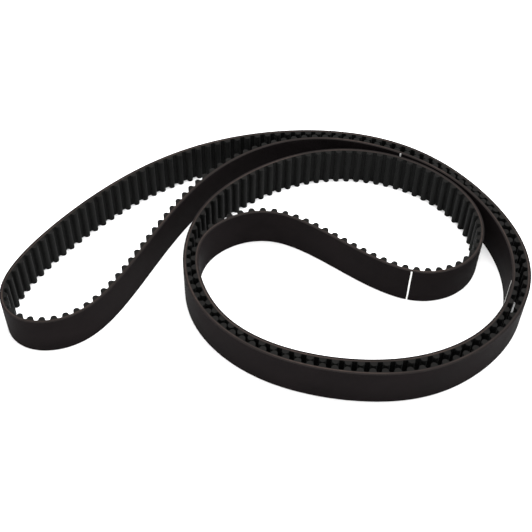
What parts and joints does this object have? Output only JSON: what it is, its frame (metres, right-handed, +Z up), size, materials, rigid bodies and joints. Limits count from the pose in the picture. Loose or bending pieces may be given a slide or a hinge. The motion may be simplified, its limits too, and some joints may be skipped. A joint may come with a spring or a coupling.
{
  "type": "timing belt",
  "caption": "Endless rubber timing belt with rounded teeth on its inner side and a smooth back, standing on its edge in loose coils.",
  "frame": {"origin": "middle of the belt's footprint, on the surface that it stands on", "axes": "+Z up, along the belt's width from one cut edge to the other; +X along the longest side of the coiled belt, with its narrow lobe at -X; +Y away from the viewer"},
  "size_m": [0.358, 0.2299, 0.03],
  "materials": {
    "back_rubber": "ground, satin",
    "tooth_rubber": "moulded, matte",
    "tensile_cord": "dipped glass fibre cord",
    "tooth_fabric": "woven nylon, matte",
    "marking_paint": "white paint"
  },
  "bodies": {
    "root": {"backing_rubber": "back_rubber", "cords_s_twist": "tensile_cord", "cords_z_twist": "tensile_cord", "tooth_rubber": "tooth_rubber", "tooth_facing": "tooth_fabric", "timing_line_1": "marking_paint", "timing_line_2": "marking_paint", "timing_line_3": "marking_paint"}
  },
  "joints": []
}
